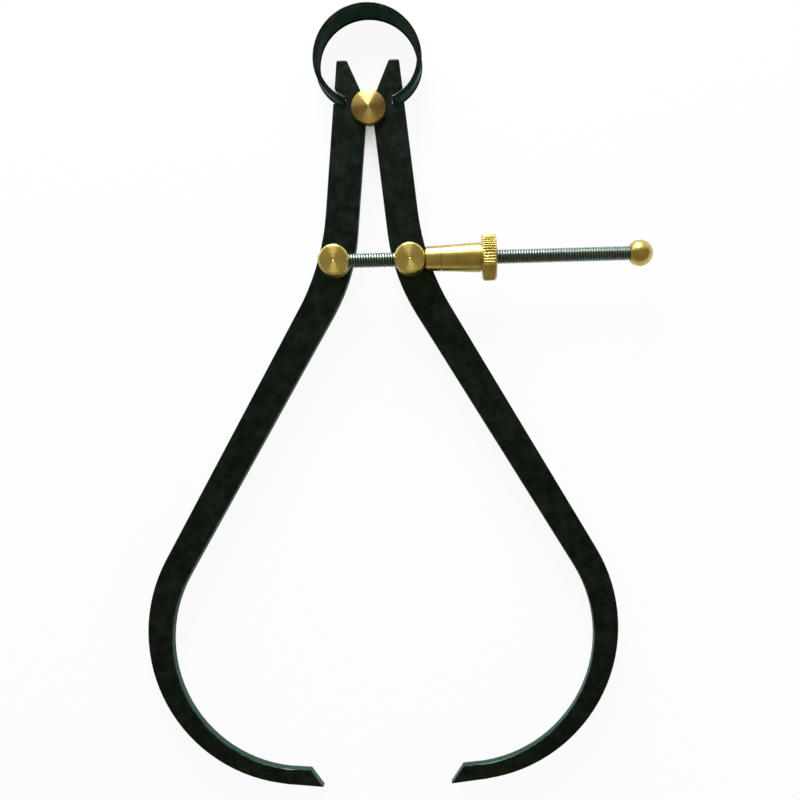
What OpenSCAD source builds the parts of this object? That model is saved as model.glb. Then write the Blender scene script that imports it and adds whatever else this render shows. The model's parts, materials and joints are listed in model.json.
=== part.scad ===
// Outside spring caliper, lying on its back with its face up.
// The origin is on the fulcrum axis, at the flat rear end of the fulcrum roller.
// Heights are along +Z, and the legs point down the -Y axis from the fulcrum.

/* [Legs] */
// Distance from the fulcrum axis down to the measuring points
leg_reach = 151.9; // [146:0.1:160]
// Distance of each measuring point from the centre line, as the caliper is set
jaw_half = 14.4; // [12:0.1:18]
// Thickness of the legs
leg_thick = 3.2; // [2.6:0.1:4]
// Width of the straight upper leg
leg_width = 7.4; // [6.8:0.1:8]
// Width of the lower leg where it starts at the knee
knee_width = 7.6; // [7:0.1:8.2]
// Taper of each edge of the lower leg, in degrees
lower_taper = 0.5; // [0:0.05:0.9]
// Distance of the upper leg's middle from the centre line, level with the fulcrum
leg_offset = 4.4; // [4.2:0.05:4.7]
// Distance from the fulcrum axis down to the knee
knee_down = 36.1; // [34:0.1:39]
// Distance of the knee from the centre line
knee_out = 7.9; // [7.4:0.1:8.6]
// Slope of the lower leg away from the centre line, in degrees
lower_angle = 30; // [28:0.1:31.5]
// Radius of the knee on the inner edge
knee_inner_r = 43; // [20:1:50]
// Radius of the knee on the outer edge
knee_outer_r = 55; // [20:1:60]
// Radius of the claw's outer edge
claw_outer_r = 34.4; // [32:0.1:36]
// Radius of the claw's inner edge
claw_inner_r = 29.3; // [27:0.1:30.5]
// Slope of the outer edge at the point, in degrees from straight down
tip_outer_angle = 83.5; // [81:0.1:86]
// Taper between the two edges of the point, in degrees
tip_taper = 2.6; // [0:0.1:3]
// Length of the slanted cut that forms the point
tip_cut = 4.8; // [4:0.1:5.4]
// Slant of that cut, in degrees from straight up
tip_cut_angle = 35; // [25:1:45]

/* [Horns] */
// Height of the horns above the fulcrum axis
horn_up = 11.15; // [9.5:0.05:12]
// Width of the flat top of each horn
horn_width = 2.3; // [1.6:0.1:2.6]
// Slant of the horn's inner edge, in degrees
horn_slant = 23; // [20:0.5:26]
// Radius of the horn's top corners
horn_corner_r = 0.5; // [0.1:0.1:0.9]

/* [Fulcrum roller] */
// Radius of the journal that the legs bear on
journal_r = 1.8; // [1.6:0.05:2]
// Radius of the coned head
head_r = 3.8; // [3.4:0.1:4.2]
// Height of the head's rim
head_rim = 2.1; // [1.2:0.1:2.6]
// Height of the cone on the head
head_cone = 0.6; // [0.2:0.1:1]
// Radius of the flat pip at the cone's centre
head_pip_r = 0.3; // [0.2:0.05:0.5]
// Radius of the rear flange
flange_r = 2.7; // [2.5:0.1:3]
// Thickness of the rear flange
flange_thick = 0.9; // [0.6:0.1:1.4]
// Radius of the boss behind the flange, which the caliper lies on
boss_r = 2.2; // [1.9:0.1:2.4]
// Distance from the boss's flat end to the rear faces of the legs
boss_rise = 2.5; // [2.2:0.1:3.2]

/* [Bow spring] */
// Height of the bow's centre above the fulcrum axis
bow_up = 11; // [10.8:0.05:11.4]
// Outer radius of the upper half of the bow
bow_r = 12.2; // [11.9:0.05:12.6]
// Outer radius of the bow's two lower arcs
bow_low_r = 10.2; // [10:0.05:10.4]
// Distance of the strip's ends from the centre line
bow_end_out = 5.4; // [5.3:0.05:5.6]
// Thickness of the spring strip
bow_thick = 1.15; // [0.8:0.05:1.4]
// Width of the strip at the top of the bow
bow_top_width = 8.2; // [7:0.1:8.2]
// Width of the strip at its ends
bow_end_width = 5.6; // [4.4:0.1:6.6]

/* [Posts and screw] */
// Distance from the fulcrum axis down to the posts
post_down = 34.5; // [33:0.1:36]
// Distance of each post from the centre line
post_out = 8.4; // [8:0.05:8.8]
// Radius of the posts
post_r = 3.4; // [3:0.05:3.6]
// Height of the posts above the legs
post_height = 6.25; // [6:0.05:7]
// Chamfer around the top of the posts
post_chamfer = 0.4; // [0.1:0.05:0.8]
// Radius of the shank through the leg
shank_r = 1.9; // [1.5:0.05:2.2]
// Radius of the riveted tail behind the leg
tail_r = 2.7; // [2.5:0.05:3]
// Thickness of the riveted tail
tail_thick = 0.8; // [0.5:0.1:1.4]
// Radius of the screw
screw_r = 1.6; // [1.4:0.05:1.75]
// Height of the screw's axis above the legs
screw_up = 3.4; // [3.2:0.05:3.6]
// Depth of the screw in the left post, past the post's axis
screw_depth = 2; // [1:0.1:2.4]
// Distance from the centre line to the middle of the end ball
ball_out = 59.3; // [56:0.1:66]
// Radius of the end ball
ball_r = 2.9; // [2.5:0.05:3.2]
// Radius of the flat on the ball where the screw enters
ball_flat_r = 1.9; // [1.8:0.05:2.2]

/* [Adjusting nut] */
// Length of the thrust collar
collar_len = 3.4; // [3:0.1:4]
// Radius of the collar at the post
collar_r = 2.65; // [2.5:0.05:2.8]
// Radius of the sleeve at the collar
sleeve_r = 2.83; // [2.7:0.01:3]
// Radius of the sleeve at the flange
sleeve_end_r = 3.3; // [3.1:0.05:3.6]
// Length of the tapered sleeve
sleeve_len = 9; // [7:0.1:11]
// Radius of the knurled flange
knurl_r = 5.15; // [4.6:0.05:5.6]
// Length of the knurled flange
knurl_len = 3.2; // [2.4:0.1:4]
// Chamfer at both ends of the knurled flange
knurl_chamfer = 0.5; // [0.3:0.05:0.8]
// Number of knurl ridges
knurl_count = 52; // [36:1:64]
// Depth of the knurl
knurl_depth = 0.28; // [0.15:0.01:0.35]
// Length of the nut's coned nose in the collar
nose_len = 1.4; // [0.8:0.1:1.8]
// Wall of the nose at its root
nose_root_wall = 0.64; // [0.5:0.02:0.8]
// Wall of the nose at its tip
nose_tip_wall = 0.2; // [0.1:0.02:0.3]
// Chamfer around the collar at the post
collar_edge = 0.2; // [0.1:0.05:0.4]
// Width and depth of the groove in front of the flange
neck = 0.3; // [0.1:0.05:0.4]

/* [Clearances] */
// Running clearance of journal and shanks, on the radius
run_play = 0.05; // [0.02:0.01:0.1]
// Clearance between faces that turn or slide on each other
face_play = 0.05; // [0.03:0.01:0.1]
// Clearance of the screw in the nut and the collar, on the radius
thread_play = 0.06; // [0.03:0.01:0.1]
// Clearance of the screw in the right post, on the radius
post_play = 0.15; // [0.1:0.01:0.25]
// Clearance around the spring's ends in their notches
notch_play = 0.3; // [0.25:0.05:0.4]
// Slope of the notches' upper wall, in degrees
notch_angle = 39; // [37:1:42]
// Slope of the notches' lower wall, in degrees
notch_low_angle = 8; // [0:1:9]

/* [Hidden] */
$fn = 96;
black_steel = [0.13, 0.14, 0.12];
brass = [0.80, 0.64, 0.27];
grey_steel = [0.52, 0.55, 0.51];

// Heights of the legs' rear and front faces, of their middle and of the screw
leg_low = boss_rise;
leg_top = leg_low + leg_thick;
leg_mid = leg_low + leg_thick / 2;
screw_z = leg_top + screw_up;
post_top = leg_top + post_height;

// A heading is an angle from straight down, positive away from the centre line
function heading(angle) = [sin(angle), -cos(angle)];
function sideways(angle) = [cos(angle), sin(angle)];
// Where the line through p at one heading meets the line through q at another
function meet(p, p_angle, q, q_angle) =
    let (d = heading(p_angle), e = heading(q_angle))
    p + d * cross(q - p, e) / cross(d, e);

// Corners of the right leg's outline
upper_angle = atan2(knee_out - leg_offset, knee_down);
upper_mid = [leg_offset, 0];
upper_outer = upper_mid + sideways(upper_angle) * leg_width / 2;
upper_inner = upper_mid - sideways(upper_angle) * leg_width / 2;
knee = [knee_out, -knee_down];
lower_outer = knee + sideways(lower_angle) * knee_width / 2;
lower_inner = knee - sideways(lower_angle) * knee_width / 2;
outer_angle = lower_angle - lower_taper;
inner_angle = lower_angle + lower_taper;
tip = [jaw_half, -leg_reach];
heel = tip + tip_cut * [sin(tip_cut_angle), cos(tip_cut_angle)];
horn_outer = meet(upper_outer, upper_angle, [0, horn_up], 90);
horn_inner = horn_outer - [horn_width, 0];
knee_outer = meet(upper_outer, upper_angle, lower_outer, outer_angle);
knee_inner = meet(upper_inner, upper_angle, lower_inner, inner_angle);
claw_outer = meet(lower_outer, outer_angle, tip, -tip_outer_angle);
claw_inner = meet(lower_inner, inner_angle, heel, -tip_outer_angle - tip_taper);
throat = meet(upper_inner, upper_angle, horn_inner, -horn_slant);

// The spring's right end: centre of its arc, and its outer and inner corners
bow_low_centre = [bow_r - bow_low_r, bow_up];
function end_corner(r) = [bow_end_out, bow_up - sqrt(r * r - pow(bow_end_out - bow_low_centre.x, 2))];
end_outer = end_corner(bow_low_r);
end_inner = end_corner(bow_low_r - bow_thick);

// Places along the screw
collar_x = post_out + post_r + face_play;
nut_x = collar_x + collar_len + face_play;
bore_r = screw_r + thread_play;

// Both tangent points and the centre of a corner b that is rounded between a and c
function unit(v) = v / norm(v);
function rounding(a, b, c, r) =
    let (u = unit(a - b), v = unit(c - b), half = acos(u * v) / 2)
    [b + u * r / tan(half), b + v * r / tan(half), b + unit(u + v) * r / sin(half)];

// The piece between a sharp corner and its arc, reaching a little past the corner
corner_spare = 0.2;
module corner_piece(corner, arc, r) {
    difference() {
        polygon([arc[0], corner + corner_spare * unit(corner - arc[2]), arc[1]]);
        translate(arc[2]) circle(r);
    }
}

// A plate whose corners, given clockwise, each have their own radius
module rounded_plate(points, radii, thick) {
    n = len(points);
    function before(i) = points[(i + n - 1) % n];
    function after(i) = points[(i + 1) % n];
    function inward(i) = cross(points[i] - before(i), after(i) - points[i]) > 0;
    function arc(i) = rounding(before(i), points[i], after(i), radii[i]);
    difference() {
        union() {
            linear_extrude(thick) polygon(points);
            for (i = [0 : n - 1])
                if (radii[i] > 0 && inward(i))
                    linear_extrude(thick) corner_piece(points[i], arc(i), radii[i]);
        }
        for (i = [0 : n - 1])
            if (radii[i] > 0 && !inward(i))
                translate([0, 0, -1]) linear_extrude(thick + 2) corner_piece(points[i], arc(i), radii[i]);
    }
}

// Notch in the leg's outer edge, open enough for the spring's end to rock as the legs swing
module spring_notch() {
    root = end_inner.x - notch_play;
    far = horn_outer.x + leg_width;
    low = end_outer.y - notch_play;
    high = end_inner.y + notch_play;
    reach = far - root;
    polygon([[root, low], [root, high], [far, high + reach * tan(notch_angle)], [far, low + reach * tan(notch_low_angle)]]);
}

module right_leg() {
    color(black_steel) translate([0, 0, leg_low]) difference() {
        rounded_plate(
            [horn_inner, horn_outer, knee_outer, claw_outer, tip, heel, claw_inner, knee_inner, throat],
            [horn_corner_r, horn_corner_r, knee_outer_r, claw_outer_r, 0, 0, claw_inner_r, knee_inner_r, 0],
            leg_thick);
        translate([0, 0, -1]) linear_extrude(leg_thick + 2) {
            circle(journal_r + run_play);
            translate([post_out, -post_down]) circle(shank_r + run_play);
            spring_notch();
        }
    }
}

module left_leg() {
    mirror([1, 0, 0]) right_leg();
}

// Strip bent around one centre, between two angles
module bent_strip(centre, r, low, high) {
    reach = 3 * r;
    function spoke(angle) = reach * [cos(angle), sin(angle)];
    translate(centre) intersection() {
        difference() {
            circle(r);
            circle(r - bow_thick);
        }
        polygon([[0, 0], spoke(low), spoke((low + high) / 2), spoke(high)]);
    }
}

// Side view of the strip, wide at the top of the bow and narrow at its ends
module bow_side_view() {
    spare = 1;
    top = bow_up + bow_r;
    end = end_outer.y;
    taper = (bow_top_width - bow_end_width) / (top - end);
    top_w = bow_top_width + spare * taper;
    end_w = bow_end_width - spare * taper;
    polygon([[end - spare, -end_w / 2], [top + spare, -top_w / 2], [top + spare, top_w / 2], [end - spare, end_w / 2]]);
}

module bow_spring() {
    color(black_steel) intersection() {
        translate([0, 0, leg_mid - bow_top_width / 2]) linear_extrude(bow_top_width) {
            bent_strip([0, bow_up], bow_r, 0, 180);
            for (side = [0, 1]) mirror([side, 0]) difference() {
                bent_strip(bow_low_centre, bow_low_r, -90, 0);
                translate([0, bow_up - bow_r]) square([bow_end_out, bow_r]);
            }
        }
        translate([-bow_r - 1, 0, leg_mid]) rotate([90, 0, 90]) linear_extrude(2 * bow_r + 2) bow_side_view();
    }
}

module fulcrum_roller() {
    rear = leg_low - face_play;
    front = leg_top + face_play;
    edge = 0.2;
    color(brass) rotate_extrude() polygon([
        [0, 0], [boss_r - edge, 0], [boss_r, edge], [boss_r, rear - flange_thick],
        [flange_r, rear - flange_thick], [flange_r, rear], [journal_r, rear], [journal_r, front],
        [head_r, front], [head_r, front + head_rim], [head_pip_r, front + head_rim + head_cone],
        [0, front + head_rim + head_cone]]);
}

// Turned post with its shank through the leg and a riveted tail
module post_blank() {
    rear = leg_low - face_play;
    front = leg_top + face_play;
    edge = tail_thick / 2;
    rotate_extrude() polygon([
        [0, rear - tail_thick], [tail_r - edge, rear - tail_thick], [tail_r, rear - tail_thick + edge],
        [tail_r, rear], [shank_r, rear], [shank_r, front], [post_r, front],
        [post_r, post_top - post_chamfer], [post_r - post_chamfer, post_top], [0, post_top]]);
}

// Rod along +X at the screw's height, between two places
module along_screw(from, to, r) {
    translate([from, 0, screw_z]) rotate([0, 90, 0]) cylinder(h = to - from, r = r);
}

module left_post() {
    color(brass) translate([-post_out, -post_down, 0]) difference() {
        post_blank();
        along_screw(-screw_depth, post_r + 1, screw_r);
    }
}

module right_post() {
    color(brass) translate([post_out, -post_down, 0]) difference() {
        post_blank();
        along_screw(-post_r - 1, post_r + 1, screw_r + post_play);
    }
}

module adjusting_screw() {
    color(grey_steel) translate([0, -post_down, 0])
        along_screw(-post_out - screw_depth, ball_out, screw_r);
}

module end_ball() {
    flat_x = sqrt(ball_r * ball_r - ball_flat_r * ball_flat_r);
    color(brass) translate([ball_out, -post_down, screw_z]) rotate([0, 90, 0]) rotate_extrude() difference() {
        intersection() {
            circle(ball_r);
            translate([0, -flat_x]) square([ball_r, flat_x + ball_r]);
        }
        translate([0, -ball_r]) square([screw_r, ball_r]);
    }
}

// Turned shape along +X from a profile of [radius, place along the screw] points
module turned_along_screw(profile) {
    translate([0, -post_down, screw_z]) rotate([0, 90, 0]) rotate_extrude() polygon(profile);
}

// The nut's nose narrows towards the bore, and the collar's seat matches it
nose_base_r = bore_r + nose_root_wall;
nose_tip_r = bore_r + nose_tip_wall;

module thrust_collar() {
    end = collar_x + collar_len;
    color(brass) turned_along_screw([
        [bore_r, collar_x], [collar_r - collar_edge, collar_x], [collar_r, collar_x + collar_edge],
        [sleeve_r, end], [nose_base_r + face_play, end], [nose_tip_r + face_play, end - nose_len - face_play],
        [bore_r, end - nose_len - face_play]]);
}

// Knurled disc: straight ridges all round, with both ends chamfered
module knurled_flange(from) {
    ridge = 360 / knurl_count;
    star = [for (i = [0 : knurl_count - 1], half = [0, 1])
        let (r = knurl_r - half * knurl_depth, a = (i + half / 2) * ridge) [r * cos(a), r * sin(a)]];
    to = from + knurl_len;
    spare = knurl_chamfer / 5;
    intersection() {
        translate([from, -post_down, screw_z]) rotate([0, 90, 0]) linear_extrude(knurl_len) polygon(star);
        turned_along_screw([
            [0, from], [knurl_r - knurl_chamfer, from], [knurl_r + spare, from + knurl_chamfer + spare],
            [knurl_r + spare, to - knurl_chamfer - spare], [knurl_r - knurl_chamfer, to], [0, to]]);
    }
}

module adjusting_nut() {
    flange_x = nut_x + sleeve_len;
    color(brass) difference() {
        union() {
            turned_along_screw([
                [0, nut_x - nose_len], [nose_tip_r, nut_x - nose_len], [nose_base_r, nut_x], [sleeve_r, nut_x],
                [sleeve_end_r, flange_x - neck], [sleeve_end_r - neck, flange_x - neck],
                [sleeve_end_r - neck, flange_x], [0, flange_x]]);
            knurled_flange(flange_x);
        }
        translate([0, -post_down, 0]) along_screw(collar_x, flange_x + 2 * knurl_len, bore_r);
    }
}

left_leg();
right_leg();
bow_spring();
fulcrum_roller();
left_post();
right_post();
adjusting_screw();
end_ball();
thrust_collar();
adjusting_nut();
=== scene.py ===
"""Looks of an outside spring caliper: blackened legs and bow, turned brass and a threaded screw."""

import json
import math

import bmesh
import bpy
from bpy.props import FloatProperty, FloatVectorProperty, IntProperty, PointerProperty
from mathutils import Matrix, Vector

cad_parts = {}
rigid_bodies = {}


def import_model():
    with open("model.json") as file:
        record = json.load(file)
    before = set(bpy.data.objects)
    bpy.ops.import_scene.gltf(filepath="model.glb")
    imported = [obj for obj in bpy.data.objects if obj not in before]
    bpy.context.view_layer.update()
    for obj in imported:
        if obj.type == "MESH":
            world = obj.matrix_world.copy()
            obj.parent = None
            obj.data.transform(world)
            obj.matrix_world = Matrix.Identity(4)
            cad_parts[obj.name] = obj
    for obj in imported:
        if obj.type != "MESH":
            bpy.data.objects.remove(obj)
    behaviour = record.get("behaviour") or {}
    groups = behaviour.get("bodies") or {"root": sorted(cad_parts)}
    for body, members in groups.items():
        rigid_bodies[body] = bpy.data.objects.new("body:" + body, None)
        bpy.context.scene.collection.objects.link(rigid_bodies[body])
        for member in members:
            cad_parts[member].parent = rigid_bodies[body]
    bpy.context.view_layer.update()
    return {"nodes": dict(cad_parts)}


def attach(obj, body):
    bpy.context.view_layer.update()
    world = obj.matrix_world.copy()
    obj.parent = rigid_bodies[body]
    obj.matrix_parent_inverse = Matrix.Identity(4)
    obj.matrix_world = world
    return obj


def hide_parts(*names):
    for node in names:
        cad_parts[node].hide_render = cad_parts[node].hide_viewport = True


bl_info = {
    "name": "Spring caliper looks",
    "version": (1, 0, 0),
    "blender": (4, 5, 0),
    "location": "3D View > Sidebar > Caliper",
    "description": "Dresses the packed spring caliper in blackened steel, turned brass and a thread",
    "category": "Object",
}

# The start-up scene's own cube, lamp and camera go before the frame comes in
for start_object in list(bpy.data.objects):
    bpy.data.objects.remove(start_object)

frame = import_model()
MM = 0.001

# Places and sizes in the frame, in millimetres: the legs and the bow
LEG_LOW = 2.5
LEG_TOP = 5.7
LEG_MID = 4.1
FACE_PLAY = 0.05
REAR = LEG_LOW - FACE_PLAY
FRONT = LEG_TOP + FACE_PLAY
BOW_UP = 11.0
BOW_R = 12.2
BOW_LOW_R = 10.2
BOW_THICK = 1.15
BOW_END_Y = 1.3833
BOW_TOP_WIDTH = 8.2
BOW_END_WIDTH = 5.6

# The visible strip reaches 0.07 mm further into its notches than the solid does, at each side
BOW_END_OUT = 5.33

# Zones of the legs' outline, in millimetres, that have an edge of their own
BEARING_ZONE_R = 2.1
POST_ZONE_R = 2.2
NOTCH_LOW = 0.9
NOTCH_HIGH = 4.0
NOTCH_OUT = 4.9
HORN_HIGH = 10.8
HORN_OUT = 7.1

# The fulcrum roller, in millimetres
JOURNAL_R = 1.8
BOSS_R = 2.2
BOSS_CHAMFER = 0.2
FLANGE_R = 2.7
FLANGE_THICK = 0.9
HEAD_R = 3.8
HEAD_SIDE = 2.1
HEAD_RISE = 2.7
HEAD_TIP_R = 0.3

# The posts, in millimetres, with their holes from the post's axis along the screw
POST_OUT = 8.4
POST_DOWN = 34.5
POST_R = 3.4
POST_TOP = 11.95
POST_CHAMFER = 0.4
SHANK_R = 1.9
TAIL_R = 2.7
TAIL_LEN = 0.8
TAIL_CHAMFER = 0.4
CENTRE_MARK_R = 0.26
CENTRE_MARK_DEPTH = 0.16
BLIND_HOLE_START = -2.0
HOLE_REACH = 6.0
POST_HOLE_R = 1.75

# The screw and what sits on it, in millimetres
SCREW_Z = 9.1
SCREW_R = 1.6
SCREW_START = -10.4
BORE_R = 1.66
BORE_MOUTH = 0.3
COLLAR_X = 11.85
COLLAR_LEN = 3.4
COLLAR_R = 2.65
COLLAR_CHAMFER = 0.2
NUT_X = 15.3
NOSE_LEN = 1.4
NOSE_ROOT_R = 2.3
NOSE_TIP_R = 1.86
SLEEVE_R = 2.83
SLEEVE_END_R = 3.3
SLEEVE_LEN = 9.0
NECK = 0.3
KNURL_R = 5.15
KNURL_LEN = 3.2
KNURL_CHAMFER = 0.5
BALL_X = 59.3
BALL_R = 2.9
BALL_FLAT_R = 1.9

# Shares of the pitch between which the thread's crest lies
CREST_FROM = 0.40
CREST_TO = 0.60

# Knurl grooves: how steep their sides are, and how much of a ridge's top stays flat
GROOVE_SLOPE = 1.35
RIDGE_FLAT = 0.1

# Numbers of steps in curved meshes
AROUND = 128
DRILL_AROUND = 64
THREAD_AROUND = 36
ARC_STEPS = 4
LOWER_BOW_STEPS = 24
UPPER_BOW_STEPS = 72
BALL_STEPS = 48
RIDGE_STEPS = 8

# Rounding of the bearing's own edge in the legs, kept far below what can be seen
BEARING_EDGE = 0.02 * MM

# Distances below which points count as one, in metres
SAME_PLACE = 1e-6
CORNER_WELD = 0.0001 * MM
CUT_WELD = 0.002 * MM
ON_AXIS = 1e-9

# Least cosine of a flat face's lean, least divisor at a sharp corner, most of a side that one arc takes
FLAT_FACE = 0.9
SHARP_CORNER = 0.35
SIDE_SHARE = 0.45

# Paint on rounded edges and on the faces beside them, which the steel's wear follows
EDGE_LAYER = "edge"
EDGE_PAINT = 1.0
SIDE_PAINT = 0.35

# The stage, in metres, and the sensor's width in millimetres
SENSOR_WIDTH = 36.0
NEAR_CLIP = 0.01
FAR_CLIP = 20.0
AIM = Vector((0.0, -0.064, 0.005))
FLOOR_REACH = 3.0
FLOOR_DROP = 0.00002

# How much of the floor is plain white when seen directly and when mirrored in the object
WHITE_SEEN = 0.93
WHITE_MIRRORED = 0.08


class CaliperSteelSettings(bpy.types.PropertyGroup):
    """Blackened steel of the legs and the bow"""

    leg_edge: FloatProperty(
        name="Leg edge radius", description="Rounding along the edges of the legs",
        default=0.25 * MM, min=0.05 * MM, max=0.8 * MM, subtype="DISTANCE", unit="LENGTH", precision=5)
    horn_edge: FloatProperty(
        name="Horn edge radius", description="Rounding along the outer edges of the horns",
        default=0.6 * MM, min=0.05 * MM, max=0.8 * MM, subtype="DISTANCE", unit="LENGTH", precision=5)
    notch_edge: FloatProperty(
        name="Notch edge radius", description="Rounding along the notches",
        default=0.06 * MM, min=0.02 * MM, max=0.3 * MM, subtype="DISTANCE", unit="LENGTH", precision=5)
    bow_edge: FloatProperty(
        name="Bow edge radius", description="Rounding along the edges of the bow spring",
        default=0.2 * MM, min=0.05 * MM, max=0.4 * MM, subtype="DISTANCE", unit="LENGTH", precision=5)
    black: FloatVectorProperty(
        name="Black", description="Darkest tone of the blackened steel",
        default=(0.0075, 0.0175, 0.0108), size=3, min=0.0, max=1.0, subtype="COLOR")
    brown: FloatVectorProperty(
        name="Brown", description="Warmer tone where the blackening is thin",
        default=(0.0195, 0.0295, 0.0140), size=3, min=0.0, max=1.0, subtype="COLOR")
    worn: FloatVectorProperty(
        name="Worn edge", description="Tone of the rubbed edges",
        default=(0.085, 0.105, 0.085), size=3, min=0.0, max=1.0, subtype="COLOR")


class CaliperBrassSettings(bpy.types.PropertyGroup):
    """Turned brass fittings"""

    bright: FloatVectorProperty(
        name="Bright brass", description="Tone of clean turned brass",
        default=(0.84, 0.65, 0.165), size=3, min=0.0, max=1.0, subtype="COLOR")
    dull: FloatVectorProperty(
        name="Dull brass", description="Tone where the brass has dulled",
        default=(0.46, 0.31, 0.028), size=3, min=0.0, max=1.0, subtype="COLOR")
    tarnish: FloatVectorProperty(
        name="Tarnished brass", description="Tone of the brown patches on the fulcrum roller's head",
        default=(0.26, 0.13, 0.014), size=3, min=0.0, max=1.0, subtype="COLOR")
    ridges: IntProperty(
        name="Knurl ridges", description="Number of ridges around the nut's flange",
        default=52, min=36, max=64)
    ridge_depth: FloatProperty(
        name="Knurl depth", description="Depth of the grooves between the ridges",
        default=0.28 * MM, min=0.1 * MM, max=0.35 * MM, subtype="DISTANCE", unit="LENGTH", precision=5)
    edge: FloatProperty(
        name="Broken edge", description="Rounding of the turned corners",
        default=0.08 * MM, min=0.02 * MM, max=0.15 * MM, subtype="DISTANCE", unit="LENGTH", precision=5)


class CaliperThreadSettings(bpy.types.PropertyGroup):
    """Thread of the adjusting screw"""

    pitch: FloatProperty(
        name="Pitch", description="Distance from one thread to the next",
        default=0.59 * MM, min=0.4 * MM, max=0.8 * MM, subtype="DISTANCE", unit="LENGTH", precision=5)
    depth: FloatProperty(
        name="Depth", description="Depth of the thread below its crest",
        default=0.24 * MM, min=0.1 * MM, max=0.45 * MM, subtype="DISTANCE", unit="LENGTH", precision=5)
    zinc: FloatVectorProperty(
        name="Zinc", description="Tone of the plated crests",
        default=(0.24, 0.285, 0.24), size=3, min=0.0, max=1.0, subtype="COLOR")
    # Colour laid on the thread roots: the plating is drawn darker towards the roots, by depth below the
    # crest
    root_tone: FloatVectorProperty(
        name="Oil", description="Tone of the darker thread roots",
        default=(0.12, 0.145, 0.125), size=3, min=0.0, max=1.0, subtype="COLOR")


class CaliperStageSettings(bpy.types.PropertyGroup):
    """Camera, lamps and floor"""

    camera_place: FloatVectorProperty(
        name="Camera place", description="Where the camera stands above the caliper",
        default=(15.63 * MM, -76.97 * MM, 261.6 * MM), size=3, subtype="TRANSLATION", unit="LENGTH")
    camera_roll: FloatProperty(
        name="Camera roll", description="Turn of the camera about its line of sight",
        default=math.radians(-1.577), subtype="ANGLE", unit="ROTATION")
    lens: FloatProperty(
        name="Lens", description="Focal length on a 36 mm wide sensor",
        default=51.3, min=20.0, max=200.0, unit="CAMERA")
    shift: FloatVectorProperty(
        name="Shift", description="Shift of the picture to the right and up, in picture widths",
        default=(-0.06, 0.0625), size=2, min=-0.2, max=0.2)
    key_power: FloatProperty(
        name="Key lamp", description="Power of the soft lamp beyond the bow",
        default=7.0, min=0.0, max=20.0, unit="POWER")
    side_power: FloatProperty(
        name="Side lamp", description="Power of the soft lamp on the left",
        default=0.4, min=0.0, max=20.0, unit="POWER")
    fill_power: FloatProperty(
        name="Fill lamp", description="Power of the lamp that lights the floor on the right",
        default=1.0, min=0.0, max=20.0, unit="POWER")
    floor: FloatVectorProperty(
        name="Floor", description="Colour of the pale floor",
        default=(0.70, 0.70, 0.70), size=3, min=0.0, max=1.0, subtype="COLOR")


def add_node(tree, kind, inputs=None, **options):
    """New shader node, with its options and the constants on its sockets"""
    node = tree.nodes.new(kind)
    for option, value in options.items():
        setattr(node, option, value)
    for socket, value in (inputs or {}).items():
        node.inputs[socket].default_value = value
    return node


def new_material(name, constants):
    """Material with its node tree and its main shader, which has the given constants on its sockets"""
    material = bpy.data.materials.new(name)
    material.use_nodes = True
    tree = material.node_tree
    tree.nodes.clear()
    output = add_node(tree, "ShaderNodeOutputMaterial")
    shader = add_node(tree, "ShaderNodeBsdfPrincipled", constants)
    tree.links.new(shader.outputs["BSDF"], output.inputs["Surface"])
    return material, tree, shader


def object_place(tree):
    """Coordinates of the object itself"""
    return add_node(tree, "ShaderNodeTexCoord").outputs["Object"]


def ramp(tree, source, stops):
    """Colour ramp on a value, from a list of places and colours"""
    node = add_node(tree, "ShaderNodeValToRGB")
    elements = node.color_ramp.elements
    while len(elements) < len(stops):
        elements.new(0.5)
    for element, (place, colour) in zip(elements, stops):
        element.position = place
        element.color = (*colour, 1.0)
    tree.links.new(source, node.inputs["Fac"])
    return node.outputs["Color"]


def grey(value):
    """Grey of one value"""
    return (value, value, value)


def noise(tree, coordinates, scale, detail, rough):
    """Noise on the given coordinates"""
    node = add_node(tree, "ShaderNodeTexNoise", {"Scale": scale, "Detail": detail, "Roughness": rough})
    tree.links.new(coordinates, node.inputs["Vector"])
    return node.outputs["Fac"]


def mix_colour(tree, factor, first, second):
    """Mix of two colours, each a socket or a constant"""
    node = add_node(tree, "ShaderNodeMix", data_type="RGBA")
    tree.links.new(factor, node.inputs["Factor"])
    for socket, value in (("A", first), ("B", second)):
        target = [s for s in node.inputs if s.name == socket and s.type == "RGBA"][0]
        if isinstance(value, bpy.types.NodeSocket):
            tree.links.new(value, target)
        else:
            target.default_value = (*value, 1.0)
    return [s for s in node.outputs if s.type == "RGBA"][0]


def calc(tree, operation, first, second):
    """Sum on two values, each a socket or a number"""
    node = add_node(tree, "ShaderNodeMath", operation=operation)
    for socket, value in zip(node.inputs, (first, second)):
        if isinstance(value, bpy.types.NodeSocket):
            tree.links.new(value, socket)
        else:
            socket.default_value = value
    return node.outputs[0]


def from_axis(tree, place):
    """Distance of a place from the local Z axis, and its height along that axis"""
    split = add_node(tree, "ShaderNodeSeparateXYZ")
    tree.links.new(place, split.inputs["Vector"])
    squares = [calc(tree, "MULTIPLY", split.outputs[axis], split.outputs[axis]) for axis in "XY"]
    distance = calc(tree, "POWER", calc(tree, "ADD", *squares), 0.5)
    return distance, split.outputs["Z"]


def bumps(tree, shader, height, strength, distance):
    """Bump on the shader's normal"""
    node = add_node(tree, "ShaderNodeBump", {"Strength": strength, "Distance": distance})
    tree.links.new(height, node.inputs["Height"])
    tree.links.new(node.outputs["Normal"], shader.inputs["Normal"])


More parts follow.
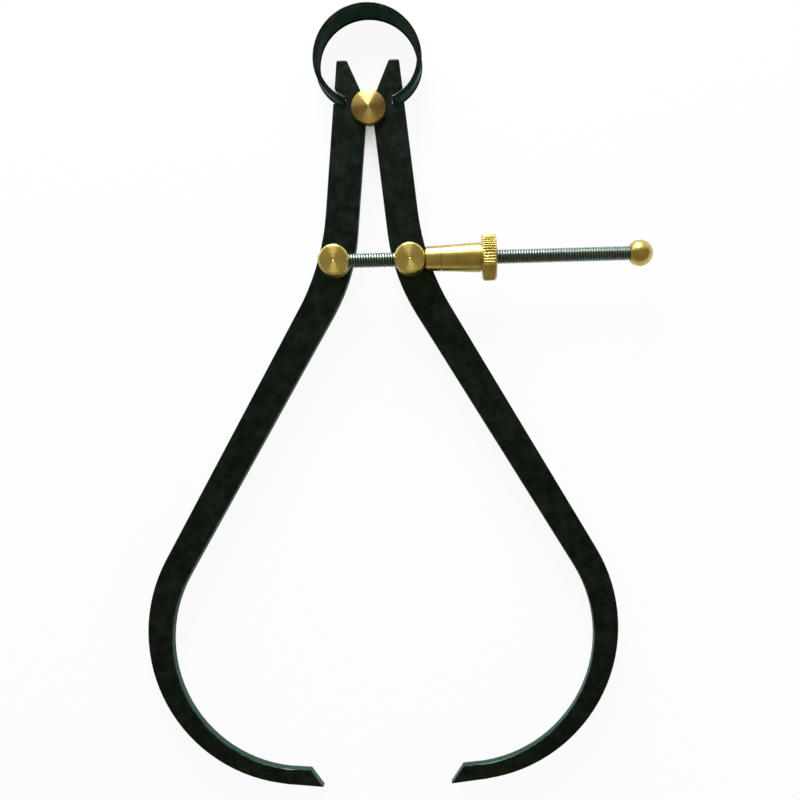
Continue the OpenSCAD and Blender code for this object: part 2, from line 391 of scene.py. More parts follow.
def blackened_steel(name, steel, roughness, sheen):
    """Oil-blackened steel: mottled black and brown, fine grain and rubbed edges"""
    material, tree, shader = new_material(name, {"Metallic": 1.0, "Specular Tint": (*sheen, 1.0)})
    place = object_place(tree)
    clouds = noise(tree, place, scale=85.0, detail=5.0, rough=0.62)
    specks = noise(tree, place, scale=1300.0, detail=2.0, rough=0.6)
    grain = noise(tree, place, scale=2600.0, detail=3.0, rough=0.6)
    thin = ramp(tree, clouds, [(0.38, grey(0.15)), (0.72, grey(1.0))])
    speckle = ramp(tree, specks, [(0.44, grey(0.08)), (0.64, grey(1.0))])
    body = mix_colour(tree, calc(tree, "MULTIPLY", thin, speckle), steel.black, steel.brown)
    edge = add_node(tree, "ShaderNodeAttribute", attribute_name=EDGE_LAYER).outputs["Fac"]
    scuffs = noise(tree, place, scale=420.0, detail=4.0, rough=0.6)
    rub = ramp(tree, scuffs, [(0.40, grey(0.15)), (0.70, grey(0.9))])
    colour = mix_colour(tree, calc(tree, "MULTIPLY", edge, rub), body, steel.worn)
    tree.links.new(colour, shader.inputs["Base Color"])
    low, high = roughness
    gloss = ramp(tree, grain, [(0.25, grey(low)), (0.80, grey(high))])
    tree.links.new(gloss, shader.inputs["Roughness"])
    bumps(tree, shader, grain, strength=0.25, distance=0.00003)
    return material


def turned_brass(name, bright, dull, roughness, anisotropy, age):
    """Turned and lacquered brass: fine rings around the local Z axis, dulled here and there"""
    material, tree, shader = new_material(name, {
        "Metallic": 1.0, "Coat Weight": 0.6, "Coat Roughness": 0.30,
        "Anisotropic": anisotropy, "Anisotropic Rotation": 0.25})
    place = object_place(tree)
    distance, height = from_axis(tree, place)
    rings = add_node(
        tree, "ShaderNodeTexNoise", {"Scale": 4200.0, "Detail": 2.0, "Roughness": 0.5},
        noise_dimensions="1D")
    tree.links.new(calc(tree, "ADD", distance, height), rings.inputs["W"])
    tool_marks = rings.outputs["Fac"]
    clouds = noise(tree, place, scale=330.0, detail=4.0, rough=0.6)
    least, most = age
    dulling = ramp(tree, clouds, [(0.35, grey(least)), (0.70, grey(most))])
    shade = ramp(tree, tool_marks, [(0.30, grey(0.0)), (0.70, grey(0.15))])
    amount = calc(tree, "MAXIMUM", dulling, shade)
    tree.links.new(mix_colour(tree, amount, bright, dull), shader.inputs["Base Color"])
    low, high = roughness
    gloss = ramp(tree, tool_marks, [(0.25, grey(low)), (0.75, grey(high))])
    tree.links.new(gloss, shader.inputs["Roughness"])
    tangent = add_node(tree, "ShaderNodeTangent", direction_type="RADIAL", axis="Z")
    tree.links.new(tangent.outputs["Tangent"], shader.inputs["Tangent"])
    bumps(tree, shader, tool_marks, strength=0.02, distance=0.00001)
    return material


def plated_thread(name, thread):
    """Zinc plated thread: bright crests, with a darker colour laid towards the roots"""
    material, tree, shader = new_material(name, {"Metallic": 1.0})
    place = object_place(tree)
    distance = from_axis(tree, place)[0]
    root = SCREW_R * MM - thread.depth
    height = calc(tree, "DIVIDE", calc(tree, "SUBTRACT", distance, root), thread.depth)
    clouds = noise(tree, place, scale=700.0, detail=4.0, rough=0.6)
    # Darker towards the thread roots: the colour mix follows depth below the crest, broken up by cloudy
    # noise
    crest_level = calc(tree, "SUBTRACT", height, calc(tree, "MULTIPLY", clouds, 0.5))
    lighter = ramp(tree, crest_level, [(0.0, grey(0.0)), (0.55, grey(1.0))])
    tree.links.new(mix_colour(tree, lighter, thread.root_tone, thread.zinc), shader.inputs["Base Color"])
    grain = noise(tree, place, scale=3000.0, detail=3.0, rough=0.6)
    gloss = ramp(tree, grain, [(0.3, grey(0.24)), (0.75, grey(0.42))])
    tree.links.new(gloss, shader.inputs["Roughness"])
    bumps(tree, shader, clouds, strength=0.15, distance=0.00002)
    return material


def pale_floor(colour):
    """Pale floor that looks white, with a faint shadow left on it"""
    material, tree, shader = new_material("pale_floor", {"Roughness": 0.9, "Specular IOR Level": 0.2})
    paper = noise(tree, object_place(tree), scale=40.0, detail=2.0, rough=0.5)
    tone = tuple(channel * 0.985 for channel in colour)
    tree.links.new(mix_colour(tree, paper, tone, tuple(colour)), shader.inputs["Base Color"])
    rays = add_node(tree, "ShaderNodeLightPath")
    mirrored = calc(tree, "MAXIMUM", rays.outputs["Is Glossy Ray"], rays.outputs["Is Transmission Ray"])
    seen_white = calc(tree, "MULTIPLY", rays.outputs["Is Camera Ray"], WHITE_SEEN)
    mirrored_white = calc(tree, "MULTIPLY", mirrored, WHITE_MIRRORED)
    share = calc(tree, "MAXIMUM", seen_white, mirrored_white)
    # Where the object covers the floor closely, its shadow stays
    cover = add_node(tree, "ShaderNodeAmbientOcclusion", {"Distance": 12.0 * MM}, samples=16)
    free = ramp(tree, cover.outputs["AO"], [(0.08, grey(0.0)), (0.24, grey(1.0))])
    share = calc(tree, "MULTIPLY", share, free)
    white = add_node(tree, "ShaderNodeEmission", {"Color": (1.0, 1.0, 1.0, 1.0), "Strength": 1.0})
    output = [node for node in tree.nodes if node.type == "OUTPUT_MATERIAL"][0]
    blend_shaders(tree, share, shader.outputs["BSDF"], white.outputs["Emission"], output)
    return material


def blend_shaders(tree, factor, first, second, output):
    """Mix of two shaders on a tree's output"""
    blend = add_node(tree, "ShaderNodeMixShader")
    tree.links.new(factor, blend.inputs["Fac"])
    tree.links.new(first, blend.inputs[1])
    tree.links.new(second, blend.inputs[2])
    tree.links.new(blend.outputs["Shader"], output.inputs["Surface"])


def studio_world(scene):
    """Studio with pale walls, a dim ceiling and a glow beyond the bow, in front of a white backdrop"""
    world = bpy.data.worlds.new("studio")
    scene.world = world
    world.use_nodes = True
    tree = world.node_tree
    tree.nodes.clear()
    output = add_node(tree, "ShaderNodeOutputWorld")
    light = add_node(tree, "ShaderNodeBackground", {"Strength": 1.0})
    backdrop = add_node(tree, "ShaderNodeBackground", {"Color": (1.0, 1.0, 1.0, 1.0), "Strength": 1.0})
    seen = add_node(tree, "ShaderNodeLightPath").outputs["Is Camera Ray"]
    blend_shaders(tree, seen, light.outputs["Background"], backdrop.outputs["Background"], output)
    place = add_node(tree, "ShaderNodeTexCoord").outputs["Generated"]
    split = add_node(tree, "ShaderNodeSeparateXYZ")
    tree.links.new(place, split.inputs["Vector"])
    walls = ramp(tree, split.outputs["Z"], [
        (0.0, grey(0.90)), (0.04, grey(0.60)), (0.12, (0.26, 0.25, 0.22)), (0.45, (0.21, 0.20, 0.165)),
        (1.0, (0.30, 0.285, 0.235))])
    glow = ramp(tree, split.outputs["Y"], [(0.35, grey(0.0)), (0.75, grey(0.65))])
    sky = add_node(tree, "ShaderNodeVectorMath", operation="ADD")
    tree.links.new(walls, sky.inputs[0])
    tree.links.new(glow, sky.inputs[1])
    tree.links.new(sky.outputs["Vector"], light.inputs["Color"])


def add_object(name, data, matrix=None):
    """Object in the scene, at its place"""
    piece = bpy.data.objects.new(name, data)
    bpy.context.scene.collection.objects.link(piece)
    if matrix is not None:
        piece.matrix_world = matrix
    return piece


def add_lamp(name, place, size, power):
    """Soft rectangular lamp aimed at the caliper"""
    lamp = bpy.data.lights.new(name, "AREA")
    lamp.shape = "RECTANGLE"
    lamp.size, lamp.size_y = size
    lamp.energy = power
    holder = add_object(name, lamp)
    holder.location = place
    holder.rotation_euler = (AIM - Vector(place)).to_track_quat("-Z", "Y").to_euler()
    return holder


def finish_shading(piece, sharp=40.0):
    """Smooth shading up to a sharp angle in degrees, with flat faces kept flat"""
    mesh = piece.data
    mesh.shade_smooth()
    mesh.set_sharp_from_angle(angle=math.radians(sharp))
    flat_faces = piece.modifiers.new("flat_faces", "WEIGHTED_NORMAL")
    flat_faces.keep_sharp = True


def stand_for(piece, node, body, material):
    """Piece with its material takes the place of a CAD node on its body"""
    piece.data.materials.clear()
    piece.data.materials.append(material)
    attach(piece, body)
    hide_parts(node)


def apply_modifiers(piece):
    """Make a piece's modifiers permanent in its mesh"""
    bpy.context.view_layer.update()
    graph = bpy.context.evaluated_depsgraph_get()
    mesh = bpy.data.meshes.new_from_object(piece.evaluated_get(graph), depsgraph=graph)
    mesh.name = piece.name
    bm = bmesh.new()
    bm.from_mesh(mesh)
    bmesh.ops.remove_doubles(bm, verts=bm.verts, dist=CUT_WELD)
    bmesh.ops.dissolve_degenerate(bm, edges=bm.edges, dist=CUT_WELD)
    bm.to_mesh(mesh)
    bm.free()
    piece.modifiers.clear()
    piece.data = mesh


def mesh_from(name, bm):
    """Mesh from a bmesh, which ends with it"""
    mesh = bpy.data.meshes.new(name)
    bm.to_mesh(mesh)
    bm.free()
    return mesh


def closed_mesh(name, bm):
    """Mesh from a bmesh, without the empty faces of sharp corners and with all its faces outward"""
    bmesh.ops.remove_doubles(bm, verts=bm.verts, dist=CORNER_WELD)
    bmesh.ops.recalc_face_normals(bm, faces=bm.faces)
    if bm.calc_volume(signed=True) < 0:
        bmesh.ops.reverse_faces(bm, faces=bm.faces)
    return mesh_from(name, bm)


def join_rings(bm, rings):
    """Faces between each ring of corners and the next"""
    count = len(rings[0])
    for under, over in zip(rings, rings[1:]):
        for i in range(count):
            j = (i + 1) % count
            bm.faces.new((under[i], under[j], over[j], over[i]))


def edge_paint(step):
    """Paint at one step of a rounded edge's arc"""
    return EDGE_PAINT if 0 < step < ARC_STEPS else SIDE_PAINT


def plate_loops(node, height):
    """Outline loops of a flat CAD node at one height, each as a list of points in the plane"""
    bm = bmesh.new()
    bm.from_mesh(frame["nodes"][node].data)
    bmesh.ops.remove_doubles(bm, verts=bm.verts, dist=SAME_PLACE)
    rim = {}
    for edge in bm.edges:
        if any(abs(vertex.co.z - height) > SAME_PLACE for vertex in edge.verts):
            continue
        flats = [abs(face.normal.z) > FLAT_FACE for face in edge.link_faces]
        if sorted(flats) == [False, True]:
            first, second = edge.verts
            rim.setdefault(first, []).append(second)
            rim.setdefault(second, []).append(first)
    loops = []
    left = set(rim)
    while left:
        start = min(left, key=lambda vertex: vertex.index)
        loop = [start]
        previous, here = None, start
        while True:
            left.discard(here)
            ahead = [vertex for vertex in rim[here] if vertex is not previous][0]
            if ahead is start:
                break
            previous, here = here, ahead
            loop.append(here)
        loops.append([vertex.co.to_2d() for vertex in loop])
    bm.free()
    return loops


def signed_area(loop):
    """Area of a loop, positive when it runs anticlockwise"""
    return sum(a.x * b.y - a.y * b.x for a, b in zip(loop, loop[1:] + loop[:1])) / 2


def inward_steps(loop):
    """For each point of a loop, the step into the material that moves both its edges by one"""
    steps = []
    for before, here, after in zip(loop[-1:] + loop[:-1], loop, loop[1:] + loop[:1]):
        back = (here - before).normalized()
        ahead = (after - here).normalized()
        first = Vector((-back.y, back.x))
        second = Vector((-ahead.y, ahead.x))
        steps.append((first + second) / max(SHARP_CORNER, 1 + first.dot(second)))
    return steps


def rounded_plate(name, loops, low, high, edge_width):
    """Flat plate from its outline loops, whose rounded edges have the width that edge_width gives"""
    bm = bmesh.new()
    rub = bm.verts.layers.float.new(EDGE_LAYER)
    outer = max(loops, key=lambda loop: abs(signed_area(loop)))
    rims = {low: [], high: []}
    for loop in loops:
        if (signed_area(loop) > 0) != (loop is outer):
            loop = loop[::-1]
        steps = inward_steps(loop)
        widths = [edge_width(point) for point in loop]
        turns = range(ARC_STEPS + 1) if max(widths) > 0 else (0,)
        levels = [(low, 1.0, turn) for turn in reversed(turns)] + [(high, -1.0, turn) for turn in turns]
        rings = []
        for face, sign, turn in levels:
            lean = math.pi / 2 * turn / ARC_STEPS
            ring = []
            for point, step, width in zip(loop, steps, widths):
                place = point + step * width * (1 - math.cos(lean))
                height = face + sign * width * (1 - math.sin(lean))
                corner = bm.verts.new((place.x, place.y, height))
                corner[rub] = edge_paint(turn)
                ring.append(corner)
            rings.append(ring)
        rims[low].append(rings[0])
        rims[high].append(rings[-1])
        join_rings(bm, rings)
    for rings in rims.values():
        edges = []
        for ring in rings:
            for first, second in zip(ring, ring[1:] + ring[:1]):
                edges.append(bm.edges.get((first, second)))
        bmesh.ops.triangle_fill(bm, edges=edges, use_beauty=True, use_dissolve=False)
    return closed_mesh(name, bm)


def strip_section(angle, centre, radius, end_x, edge):
    """One rounded section of the bow's strip, in metres; end_x moves its points on to the cut end"""
    thick = BOW_THICK * MM
    middle = LEG_MID * MM
    points = []
    for outside, side in ((1, 1), (0, 1), (0, -1), (1, -1)):
        for step in range(ARC_STEPS + 1):
            lean = math.pi / 2 * step / ARC_STEPS
            if outside != (side > 0):
                lean = math.pi / 2 - lean
            depth = edge * (1 - math.sin(lean))
            drop = edge * (1 - math.cos(lean))
            reach = radius - depth if outside else radius - thick + depth
            turn = angle
            if end_x is not None:
                turn = math.copysign(math.acos((abs(end_x) - abs(centre.x)) / reach), angle)
                if end_x < 0:
                    turn = math.pi - turn
            x = centre.x + reach * math.cos(turn)
            y = centre.y + reach * math.sin(turn)
            share = (y - BOW_END_Y * MM) / ((BOW_UP + BOW_R - BOW_END_Y) * MM)
            half = (BOW_END_WIDTH + (BOW_TOP_WIDTH - BOW_END_WIDTH) * share) * MM / 2
            point = Vector((x, y, middle + side * (half - drop)))
            points.append((point, edge_paint(step)))
    return points


def bow_mesh(name, edge):
    """Bow spring: a strip swept round its upper half circle and its two tighter lower arcs"""
    low_x = (BOW_R - BOW_LOW_R) * MM
    end_x = BOW_END_OUT * MM
    upper_r = BOW_R * MM
    lower_r = BOW_LOW_R * MM
    end_turn = math.acos((end_x - low_x) / lower_r)
    right, middle, left = [Vector((x, BOW_UP * MM)) for x in (low_x, 0.0, -low_x)]
    sections = [(-end_turn, right, lower_r, end_x)]
    for step in range(1, LOWER_BOW_STEPS):
        turn = -end_turn * (1 - step / LOWER_BOW_STEPS)
        sections.append((turn, right, lower_r, None))
    for step in range(UPPER_BOW_STEPS):
        turn = math.pi * step / UPPER_BOW_STEPS
        sections.append((turn, middle, upper_r, None))
    for step in range(LOWER_BOW_STEPS):
        turn = math.pi + end_turn * step / LOWER_BOW_STEPS
        sections.append((turn, left, lower_r, None))
    sections.append((-end_turn, left, lower_r, -end_x))
    bm = bmesh.new()
    rub = bm.verts.layers.float.new(EDGE_LAYER)
    rings = []
    for turn, centre, radius, cut_x in sections:
        ring = []
        for point, paint in strip_section(turn, centre, radius, cut_x, edge):
            corner = bm.verts.new(point)
            corner[rub] = paint
            ring.append(corner)
        rings.append(ring)
    join_rings(bm, rings)
    bm.faces.new(rings[0])
    bm.faces.new(rings[-1])
    return closed_mesh(name, bm)


def softened(corners, rounding):
    """Profile with its corners broken by small arcs, from radius, height and share of the rounding"""
    points = []
    count = len(corners)
    for index, (radius, height, share) in enumerate(corners):
        here = Vector((radius, height))
        before = Vector(corners[index - 1][:2])
        after = Vector(corners[(index + 1) % count][:2])
        if share <= 0.0:
            points.append(here)
            continue
        back = (before - here).normalized()
        ahead = (after - here).normalized()
        half = back.angle(ahead) / 2
        most = min((before - here).length * SIDE_SHARE, (after - here).length * SIDE_SHARE)
        reach = min(rounding * share / math.tan(half), most)
        start = here + back * reach
        end = here + ahead * reach
        for step in range(ARC_STEPS + 1):
            t = step / ARC_STEPS
            points.append(start * (1 - t) ** 2 + here * 2 * t * (1 - t) + end * t ** 2)
    return points


def lathe(name, profile, closed=False, around=AROUND, groove=None):
    """Mesh turned around the local Z axis from a profile of radius and height points"""
    bm = bmesh.new()
    rings = []
    for radius, height in profile:
        if radius < ON_AXIS:
            rings.append([bm.verts.new((0.0, 0.0, height))])
            continue
        ring = []
        for step in range(around):
            angle = 2 * math.pi * step / around
            reach = radius - (groove(radius, step) if groove else 0.0)
            ring.append(bm.verts.new((reach * math.cos(angle), reach * math.sin(angle), height)))
        rings.append(ring)
    pairs = list(zip(rings, rings[1:]))
    if closed:
        pairs.append((rings[-1], rings[0]))
    for low, high in pairs:
        for step in range(around):
            after = (step + 1) % around
            if len(low) == 1:
                bm.faces.new((low[0], high[after], high[step]))
            elif len(high) == 1:
                bm.faces.new((low[step], low[after], high[0]))
            else:
                bm.faces.new((low[step], low[after], high[after], high[step]))
    bmesh.ops.recalc_face_normals(bm, faces=bm.faces)
    return mesh_from(name, bm)


def thread_mesh(name, pitch, depth, crest, length):
    """Helical thread along local Z, closed at both ends"""
    shape = [(0.0, crest - depth), (CREST_FROM, crest), (CREST_TO, crest)]
    count = int(THREAD_AROUND * (length / pitch - 1))
    bm = bmesh.new()
    rows = []
    for step in range(count + 1):
        angle = 2 * math.pi * step / THREAD_AROUND
        base = pitch * step / THREAD_AROUND
        rows.append([
            bm.verts.new((radius * math.cos(angle), radius * math.sin(angle), base + share * pitch))
            for share, radius in shape])
    for low, high in zip(rows, rows[1:]):
        for k in range(len(shape) - 1):
            bm.faces.new((low[k], high[k], high[k + 1], low[k + 1]))
    for step in range(count - THREAD_AROUND):
        low, high = rows[step], rows[step + 1]
        above, above_next = rows[step + THREAD_AROUND], rows[step + THREAD_AROUND + 1]
        bm.faces.new((low[-1], high[-1], above_next[0], above[0]))
    open_edges = [edge for edge in bm.edges if edge.is_boundary]
    bmesh.ops.holes_fill(bm, edges=open_edges, sides=0)
    bmesh.ops.triangulate(bm, faces=[face for face in bm.faces if len(face.verts) > 4])
    bmesh.ops.recalc_face_normals(bm, faces=bm.faces)
    return mesh_from(name, bm)


def knurl_rows(points, low_edge):
    """Profile with extra rows where the grooves run out on the flange's chamfers"""
    rows = []
    for here, after in zip(points, points[1:] + points[:1]):
        rows.append((here[0], here[1]))
        if min(here[0], after[0]) < low_edge < max(here[0], after[0]):
            t = (low_edge - here[0]) / (after[0] - here[0])
            rows.append((low_edge, here[1] + t * (after[1] - here[1])))
    return rows


def in_metres(profile):
    """Profile in millimetres turned into metres"""
    return [(radius * MM, height * MM) for radius, height in profile]


def along_screw(x):
    """Matrix that lays a turned mesh along the screw, with its zero at a place in millimetres"""
    place = Matrix.Translation((x * MM, -POST_DOWN * MM, SCREW_Z * MM))
    return place @ Matrix.Rotation(math.pi / 2, 4, "Y")


def upright(x, y):
    """Matrix that stands a turned mesh at a place in the plane, in millimetres"""
    return Matrix.Translation((x * MM, y * MM, 0.0))


def drill(piece, begin, end, radius, matrix):
    """Cut a round hole in a piece, from its ends and its radius in millimetres"""
    profile = in_metres([(0.0, begin), (radius, begin), (radius, end), (0.0, end)])
    cutter = add_object("drill", lathe("drill", profile, around=DRILL_AROUND), matrix)
    cut = piece.modifiers.new("screw_hole", "BOOLEAN")
    cut.operation = "DIFFERENCE"
    cut.solver = "EXACT"
    cut.object = cutter
    apply_modifiers(piece)
    bpy.data.objects.remove(cutter)


class CALIPER_OT_blackened_legs(bpy.types.Operator):
    """Build both legs with rounded edges in blackened steel"""

    bl_idname = "caliper.blackened_legs"
    bl_label = "Blackened legs"

    def execute(self, context):
        steel = context.scene.caliper_steel
        finish = blackened_steel(
            "blackened_leg_steel", steel, roughness=(0.27, 0.33), sheen=(0.70, 1.0, 0.85))
        post = Vector((POST_OUT, -POST_DOWN)) * MM

        def edge_width(point):
            out = abs(point.x)
            if point.length < BEARING_ZONE_R * MM:
                return BEARING_EDGE
            if (Vector((out, point.y)) - post).length < POST_ZONE_R * MM:
                return 0.0
            if NOTCH_HIGH * MM < point.y < HORN_HIGH * MM and HORN_OUT * MM < out:
                return steel.horn_edge
            in_notch = NOTCH_LOW * MM < point.y < NOTCH_HIGH * MM and NOTCH_OUT * MM < out
            return steel.notch_edge if in_notch else steel.leg_edge

        for side in ("left", "right"):
            name = f"blackened_{side}_leg"
            loops = plate_loops(f"{side}_leg", LEG_TOP * MM)
            leg = add_object(name, rounded_plate(name, loops, LEG_LOW * MM, LEG_TOP * MM, edge_width))
            finish_shading(leg, sharp=50.0)
            stand_for(leg, f"{side}_leg", f"{side}_leg", finish)
        return {"FINISHED"}


class CALIPER_OT_bow_spring(bpy.types.Operator):
    """Build the bow spring with rounded strip edges"""

    bl_idname = "caliper.bow_spring"
    bl_label = "Bow spring"

    def execute(self, context):
        steel = context.scene.caliper_steel
        finish = blackened_steel(
            "blackened_bow_steel", steel, roughness=(0.30, 0.44), sheen=(0.60, 0.84, 0.72))
        bow = add_object("blackened_bow", bow_mesh("blackened_bow", steel.bow_edge))
        finish_shading(bow, sharp=50.0)
        stand_for(bow, "bow_spring", "bow", finish)
        return {"FINISHED"}


class CALIPER_OT_fulcrum_roller(bpy.types.Operator):
    """Turn the fulcrum roller with its coned head"""

    bl_idname = "caliper.fulcrum_roller"
    bl_label = "Fulcrum roller"

    def execute(self, context):
        brass = context.scene.caliper_brass
        finish = turned_brass(
            "turned_brass_head", brass.bright, brass.tarnish,
            roughness=(0.30, 0.32), anisotropy=0.90, age=(0.60, 1.0))
        step = REAR - FLANGE_THICK
        peak = FRONT + HEAD_RISE
        corners = [
            (0.0, 0.0, 0.0), (BOSS_R - BOSS_CHAMFER, 0.0, 0.5), (BOSS_R, BOSS_CHAMFER, 0.5),
            (BOSS_R, step, 0.0), (FLANGE_R, step, 1.0), (FLANGE_R, REAR, 1.0), (JOURNAL_R, REAR, 0.0),
            (JOURNAL_R, FRONT, 0.0), (HEAD_R, FRONT, 1.0), (HEAD_R, FRONT + HEAD_SIDE, 1.5),
            (HEAD_TIP_R, peak, 0.6), (0.0, peak, 0.0)]
        profile = in_metres(softened(corners, brass.edge / MM))
        roller = add_object("turned_fulcrum_roller", lathe("turned_fulcrum_roller", profile))
        finish_shading(roller)
        stand_for(roller, "fulcrum_roller", "fulcrum", finish)
        return {"FINISHED"}


class CALIPER_OT_screw_posts(bpy.types.Operator):
    """Turn both posts and drill them for the screw"""

    bl_idname = "caliper.screw_posts"
    bl_label = "Screw posts"

    def execute(self, context):
        brass = context.scene.caliper_brass
        finish = turned_brass(
            "turned_brass_posts", brass.bright, brass.dull,
            roughness=(0.22, 0.28), anisotropy=0.90, age=(0.24, 0.58))
        tail = REAR - TAIL_LEN
        corners = [
            (0.0, tail, 0.0), (TAIL_R - TAIL_CHAMFER, tail, 1.0), (TAIL_R, tail + TAIL_CHAMFER, 1.0),
            (TAIL_R, REAR, 0.5), (SHANK_R, REAR, 0.0), (SHANK_R, FRONT, 0.0), (POST_R, FRONT, 1.0),
            (POST_R, POST_TOP - POST_CHAMFER, 0.8), (POST_R - POST_CHAMFER, POST_TOP, 0.8),
            (CENTRE_MARK_R, POST_TOP, 0.6), (0.0, POST_TOP - CENTRE_MARK_DEPTH, 0.0)]
        profile = in_metres(softened(corners, brass.edge / MM))
        for side, x, body, hole_start, hole_r in (
                ("left", -POST_OUT, "screw", BLIND_HOLE_START, SCREW_R),
                ("right", POST_OUT, "right_post", -HOLE_REACH, POST_HOLE_R)):
            name = f"turned_{side}_post"
            post = add_object(name, lathe(name, profile), upright(x, -POST_DOWN))
            drill(post, hole_start, HOLE_REACH, hole_r, along_screw(x))
            finish_shading(post)
            stand_for(post, f"{side}_post", body, finish)
        return {"FINISHED"}


class CALIPER_OT_threaded_screw(bpy.types.Operator):
    """Cut the adjusting screw's thread and put the ball on its end"""

    bl_idname = "caliper.threaded_screw"
    bl_label = "Threaded screw and ball"

    def execute(self, context):
        thread = context.scene.caliper_thread
        length = (BALL_X - SCREW_START) * MM
        mesh = thread_mesh("cut_screw", thread.pitch, thread.depth, SCREW_R * MM, length)
        screw = add_object("cut_screw", mesh, along_screw(SCREW_START))
        finish_shading(screw, sharp=32.0)
        plating = plated_thread("zinc_plated_thread", thread)
        stand_for(screw, "adjusting_screw", "screw", plating)

        brass = context.scene.caliper_brass
        finish = turned_brass(
            "turned_brass_ball", brass.bright, brass.dull,
            roughness=(0.22, 0.32), anisotropy=0.4, age=(0.40, 0.95))
        flat = math.sqrt(BALL_R ** 2 - BALL_FLAT_R ** 2)
        start = math.atan2(BALL_FLAT_R, -flat)
        profile = [(0.0, 0.0), (SCREW_R, 0.0), (SCREW_R, -flat)]
        for step in range(BALL_STEPS):
            angle = start * (1 - step / BALL_STEPS)
            profile.append((BALL_R * math.sin(angle), BALL_R * math.cos(angle)))
        profile.append((0.0, BALL_R))
        ball = add_object("turned_ball", lathe("turned_ball", in_metres(profile)), along_screw(BALL_X))
        finish_shading(ball)
        stand_for(ball, "end_ball", "screw", finish)
        return {"FINISHED"}


class CALIPER_OT_adjusting_nut(bpy.types.Operator):
    """Turn the thrust collar and the knurled adjusting nut"""

    bl_idname = "caliper.adjusting_nut"
    bl_label = "Adjusting nut and collar"

    def execute(self, context):
        brass = context.scene.caliper_brass
        finish = turned_brass(
            "turned_brass_barrel", brass.bright, brass.dull,
            roughness=(0.32, 0.38), anisotropy=0.75, age=(0.36, 0.84))
        rounding = brass.edge / MM
        seat = COLLAR_LEN - (NOSE_LEN + FACE_PLAY)
        collar_corners = [
            (BORE_R, 0.0, 0.0), (COLLAR_R - COLLAR_CHAMFER, 0.0, 0.5), (COLLAR_R, COLLAR_CHAMFER, 0.5),
            (SLEEVE_R, COLLAR_LEN, 1.0), (NOSE_ROOT_R + FACE_PLAY, COLLAR_LEN, 0.0),
            (NOSE_TIP_R + FACE_PLAY, seat, 0.0), (BORE_R, seat, 0.0)]
        profile = in_metres(softened(collar_corners, rounding))
        mesh = lathe("turned_collar", profile, closed=True)
        collar = add_object("turned_collar", mesh, along_screw(COLLAR_X))
        finish_shading(collar)
        stand_for(collar, "thrust_collar", "collar", finish)

        neck = SLEEVE_LEN - NECK
        neck_r = SLEEVE_END_R - NECK
        rim_r = KNURL_R - KNURL_CHAMFER
        face = SLEEVE_LEN + KNURL_LEN
        nut_corners = [
            (BORE_R, -NOSE_LEN, 0.0), (NOSE_TIP_R, -NOSE_LEN, 0.0), (NOSE_ROOT_R, 0.0, 0.0),
            (SLEEVE_R, 0.0, 1.0), (SLEEVE_END_R, neck, 1.0), (neck_r, neck, 0.0),
            (neck_r, SLEEVE_LEN, 0.0), (rim_r, SLEEVE_LEN, 1.0),
            (KNURL_R, SLEEVE_LEN + KNURL_CHAMFER, 0.0), (KNURL_R, face - KNURL_CHAMFER, 0.0),
            (rim_r, face, 1.0), (BORE_R + BORE_MOUTH, face, 0.0), (BORE_R, face - BORE_MOUTH, 0.0)]
        depth = brass.ridge_depth
        low_edge = KNURL_R - depth / MM

        def groove(radius, step):
            if radius / MM <= low_edge:
                return 0.0
            phase = (step % RIDGE_STEPS) / RIDGE_STEPS
            slope = (1 - abs(2 * phase - 1)) * GROOVE_SLOPE - RIDGE_FLAT
            share = min(1.0, max(0.0, slope))
            return min(radius - low_edge * MM, depth * share)

        profile = in_metres(knurl_rows(softened(nut_corners, rounding), low_edge))
        mesh = lathe(
            "knurled_nut", profile, closed=True, around=brass.ridges * RIDGE_STEPS, groove=groove)
        nut = add_object("knurled_nut", mesh, along_screw(NUT_X))
        finish_shading(nut, sharp=34.0)
        stand_for(nut, "adjusting_nut", "nut", finish)
        return {"FINISHED"}


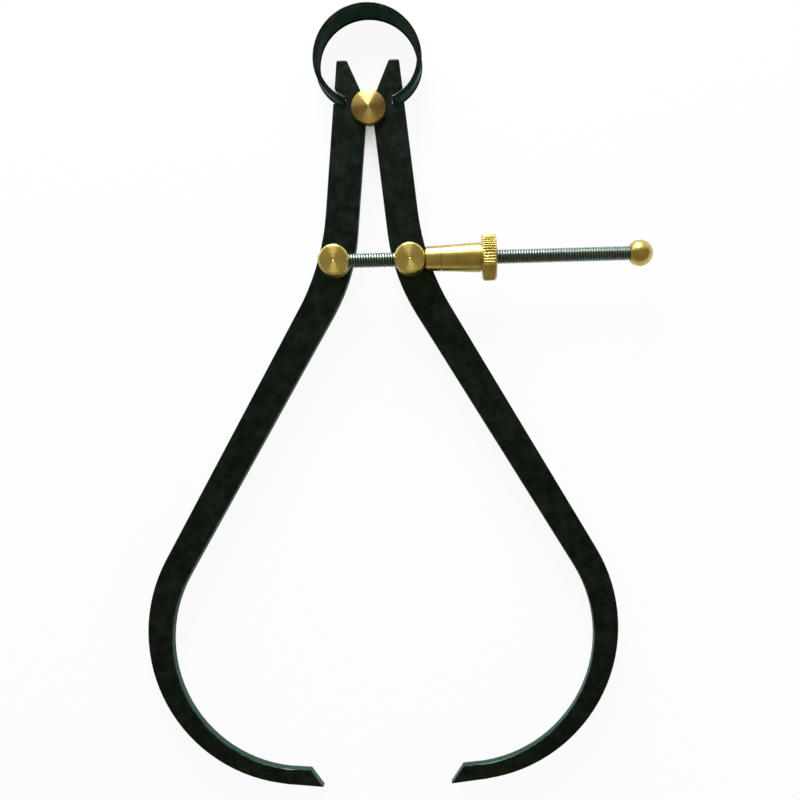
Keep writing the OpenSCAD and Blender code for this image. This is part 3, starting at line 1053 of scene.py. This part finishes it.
class CALIPER_OT_stage(bpy.types.Operator):
    """Set up the camera, the soft lamps, the studio world and the pale floor"""

    bl_idname = "caliper.stage"
    bl_label = "Stage"

    def execute(self, context):
        scene = context.scene
        stage = scene.caliper_stage
        scene.view_settings.view_transform = "Standard"
        camera = add_object("camera", bpy.data.cameras.new("camera"))
        camera.location = stage.camera_place
        camera.rotation_euler = (0.0, 0.0, stage.camera_roll)
        camera.data.lens = stage.lens
        camera.data.sensor_width = SENSOR_WIDTH
        camera.data.shift_x, camera.data.shift_y = stage.shift
        camera.data.clip_start = NEAR_CLIP
        camera.data.clip_end = FAR_CLIP
        scene.camera = camera

        key = add_lamp("key_lamp", place=(-0.06, 0.43, 0.18), size=(0.26, 0.40), power=stage.key_power)
        key.data.color = (0.80, 0.86, 1.0)
        add_lamp("side_lamp", place=(-0.38, 0.30, 0.20), size=(0.30, 0.30), power=stage.side_power)
        fill = add_lamp("fill_lamp", place=(0.45, -0.30, 0.20), size=(0.30, 0.20), power=stage.fill_power)
        fill.visible_glossy = False
        studio_world(scene)

        bm = bmesh.new()
        bmesh.ops.create_grid(bm, x_segments=1, y_segments=1, size=FLOOR_REACH)
        mesh = mesh_from("floor", bm)
        mesh.materials.append(pale_floor(stage.floor))
        floor = add_object("floor", mesh, Matrix.Translation((0.0, 0.0, -FLOOR_DROP)))
        return {"FINISHED"}


class CALIPER_PT_looks(bpy.types.Panel):
    """Settings and builders of the caliper's looks"""

    bl_idname = "CALIPER_PT_looks"
    bl_label = "Spring caliper"
    bl_space_type = "VIEW_3D"
    bl_region_type = "UI"
    bl_category = "Caliper"

    def draw(self, context):
        layout = self.layout
        for group in GROUPS:
            settings = getattr(context.scene, group)
            box = layout.box()
            for name in settings.__annotations__:
                box.prop(settings, name)
        for operator in OPERATORS:
            layout.operator(operator.bl_idname)


GROUPS = {
    "caliper_steel": CaliperSteelSettings,
    "caliper_brass": CaliperBrassSettings,
    "caliper_thread": CaliperThreadSettings,
    "caliper_stage": CaliperStageSettings,
}
OPERATORS = (
    CALIPER_OT_stage,
    CALIPER_OT_blackened_legs,
    CALIPER_OT_bow_spring,
    CALIPER_OT_fulcrum_roller,
    CALIPER_OT_screw_posts,
    CALIPER_OT_threaded_screw,
    CALIPER_OT_adjusting_nut,
)


def register():
    """Register the settings, the builders and the panel"""
    for name, group in GROUPS.items():
        bpy.utils.register_class(group)
        setattr(bpy.types.Scene, name, PointerProperty(type=group))
    for operator in OPERATORS:
        bpy.utils.register_class(operator)
    bpy.utils.register_class(CALIPER_PT_looks)


def unregister():
    """Take the settings, the builders and the panel out again"""
    bpy.utils.unregister_class(CALIPER_PT_looks)
    for operator in reversed(OPERATORS):
        bpy.utils.unregister_class(operator)
    for name, group in GROUPS.items():
        delattr(bpy.types.Scene, name)
        bpy.utils.unregister_class(group)


def main():
    """Build every piece in order"""
    register()
    bpy.ops.caliper.stage()
    bpy.ops.caliper.blackened_legs()
    bpy.ops.caliper.bow_spring()
    bpy.ops.caliper.fulcrum_roller()
    bpy.ops.caliper.screw_posts()
    bpy.ops.caliper.threaded_screw()
    bpy.ops.caliper.adjusting_nut()


if __name__ == "__main__":
    main()
